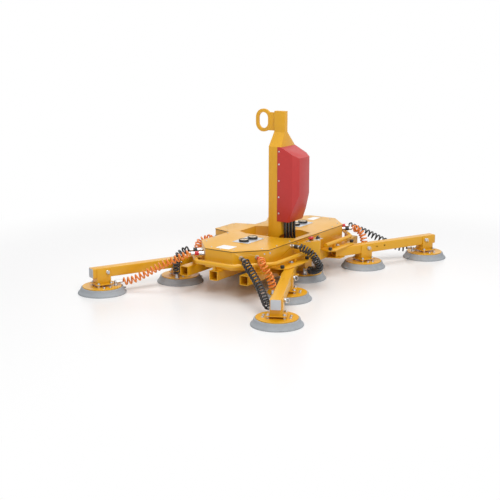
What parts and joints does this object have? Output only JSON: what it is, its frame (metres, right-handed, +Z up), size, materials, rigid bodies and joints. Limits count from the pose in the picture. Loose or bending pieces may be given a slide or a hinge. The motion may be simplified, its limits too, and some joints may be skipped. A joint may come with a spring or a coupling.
{
  "type": "battery vacuum lifter",
  "caption": "Battery vacuum lifter for stone slabs: tube frame and housing with tilting crane mast, swivelling arms and round vacuum cups.",
  "frame": {"origin": "on the slab plane, under the middle of the body", "axes": "+X along the three body tubes, +Y towards the side that the mast tilts to, +Z up"},
  "size_m": [2.2792, 1.558, 1.0795],
  "materials": {
    "yellow_paint": "gloss",
    "red_paint": "gloss",
    "grey_rubber": "matte",
    "bright_steel": "satin",
    "cast_aluminium": "satin",
    "black_plastic": "satin",
    "red_plastic": "gloss",
    "black_rubber": "matte",
    "black_hose": "satin",
    "orange_hose": "satin"
  },
  "bodies": {
    "frame": {"centre_tube": "yellow_paint", "side_tube_front": "yellow_paint", "side_tube_rear": "yellow_paint", "housing": "yellow_paint", "lid": "yellow_paint", "gauge_panel_left": "bright_steel", "gauge_panel_right": "bright_steel", "control_panel": "yellow_paint", "battery": "black_plastic", "vacuum_pump": "cast_aluminium", "mast_pin": "bright_steel", "mast_hoses": "black_rubber", "handle_left": "yellow_paint", "handle_right": "yellow_paint", "cup_front_centre": "grey_rubber", "head_front_centre": "yellow_paint", "hose_front_centre": "black_hose", "cup_rear_centre": "grey_rubber", "head_rear_centre": "yellow_paint", "hose_rear_centre": "orange_hose"},
    "mast": {"mast": "yellow_paint", "lifting_eye": "yellow_paint", "mast_cover": "red_paint"},
    "stop_button": {"stop_button": "red_plastic"},
    "arm_front_left": {"arm_front_left": "yellow_paint", "cup_front_left_inner": "grey_rubber", "head_front_left_inner": "yellow_paint", "cup_front_left_outer": "grey_rubber", "head_front_left_outer": "yellow_paint", "hose_front_left_inner": "orange_hose", "hose_front_left_outer": "black_hose"},
    "pin_front_left_inner": {"pin_front_left_inner": "bright_steel"},
    "pin_front_left_outer": {"pin_front_left_outer": "bright_steel"},
    "arm_front_right": {"arm_front_right": "yellow_paint", "cup_front_right_inner": "grey_rubber", "head_front_right_inner": "yellow_paint", "cup_front_right_outer": "grey_rubber", "head_front_right_outer": "yellow_paint", "hose_front_right_inner": "orange_hose", "hose_front_right_outer": "black_hose"},
    "pin_front_right_inner": {"pin_front_right_inner": "bright_steel"},
    "pin_front_right_outer": {"pin_front_right_outer": "bright_steel"},
    "arm_rear_left": {"arm_rear_left": "yellow_paint", "cup_rear_left_inner": "grey_rubber", "head_rear_left_inner": "yellow_paint", "cup_rear_left_outer": "grey_rubber", "head_rear_left_outer": "yellow_paint", "hose_rear_left_inner": "black_hose", "hose_rear_left_outer": "orange_hose"},
    "pin_rear_left_inner": {"pin_rear_left_inner": "bright_steel"},
    "pin_rear_left_outer": {"pin_rear_left_outer": "bright_steel"},
    "arm_rear_right": {"arm_rear_right": "yellow_paint", "cup_rear_right_inner": "grey_rubber", "head_rear_right_inner": "yellow_paint", "cup_rear_right_outer": "grey_rubber", "head_rear_right_outer": "yellow_paint", "hose_rear_right_inner": "black_hose", "hose_rear_right_outer": "orange_hose"},
    "pin_rear_right_inner": {"pin_rear_right_inner": "bright_steel"},
    "pin_rear_right_outer": {"pin_rear_right_outer": "bright_steel"}
  },
  "joints": [
    {"name": "mast_tilt", "type": "hinge", "parent": "frame", "child": "mast", "pos_m": [0, 0.06, 0.232], "axis": [1, 0, 0], "range_deg": [-90, 0], "deforming": ["mast_hoses"]},
    {"name": "stop_button_press", "type": "slide", "parent": "frame", "child": "stop_button", "axis": [0, -0.1418, -0.9899], "range_m": [0, 0.004], "stiffness_N_per_m": 1500, "springref_m": -0.002},
    {"name": "arm_swivel_front_left", "type": "hinge", "parent": "frame", "child": "arm_front_left", "pos_m": [-0.3, -0.306, 0.13], "axis": [0, 0, 1], "range_deg": [-25, 40], "deforming": ["hose_front_left_inner", "hose_front_left_outer"]},
    {"name": "pin_pull_front_left_inner", "type": "slide", "parent": "arm_front_left", "child": "pin_front_left_inner", "axis": [0.4248, -0.9053, 0], "range_m": [0, 0.085]},
    {"name": "pin_pull_front_left_outer", "type": "slide", "parent": "arm_front_left", "child": "pin_front_left_outer", "axis": [0.4248, -0.9053, 0], "range_m": [0, 0.085]},
    {"name": "arm_swivel_front_right", "type": "hinge", "parent": "frame", "child": "arm_front_right", "pos_m": [0.3, -0.306, 0.13], "axis": [0, 0, 1], "range_deg": [-40, 25], "deforming": ["hose_front_right_inner", "hose_front_right_outer"]},
    {"name": "pin_pull_front_right_inner", "type": "slide", "parent": "arm_front_right", "child": "pin_front_right_inner", "axis": [-0.4248, -0.9053, 0], "range_m": [0, 0.085]},
    {"name": "pin_pull_front_right_outer", "type": "slide", "parent": "arm_front_right", "child": "pin_front_right_outer", "axis": [-0.4248, -0.9053, 0], "range_m": [0, 0.085]},
    {"name": "arm_swivel_rear_left", "type": "hinge", "parent": "frame", "child": "arm_rear_left", "pos_m": [-0.3, 0.306, 0.13], "axis": [0, 0, 1], "range_deg": [-40, 25], "deforming": ["hose_rear_left_inner", "hose_rear_left_outer"]},
    {"name": "pin_pull_rear_left_inner", "type": "slide", "parent": "arm_rear_left", "child": "pin_rear_left_inner", "axis": [0.4248, 0.9053, 0], "range_m": [0, 0.085]},
    {"name": "pin_pull_rear_left_outer", "type": "slide", "parent": "arm_rear_left", "child": "pin_rear_left_outer", "axis": [-0.4248, -0.9053, 0], "range_m": [0, 0.085]},
    {"name": "arm_swivel_rear_right", "type": "hinge", "parent": "frame", "child": "arm_rear_right", "pos_m": [0.3, 0.306, 0.13], "axis": [0, 0, 1], "range_deg": [-25, 40], "deforming": ["hose_rear_right_inner", "hose_rear_right_outer"]},
    {"name": "pin_pull_rear_right_inner", "type": "slide", "parent": "arm_rear_right", "child": "pin_rear_right_inner", "axis": [-0.4248, 0.9053, 0], "range_m": [0, 0.085]},
    {"name": "pin_pull_rear_right_outer", "type": "slide", "parent": "arm_rear_right", "child": "pin_rear_right_outer", "axis": [0.4248, -0.9053, 0], "range_m": [0, 0.085]}
  ]
}
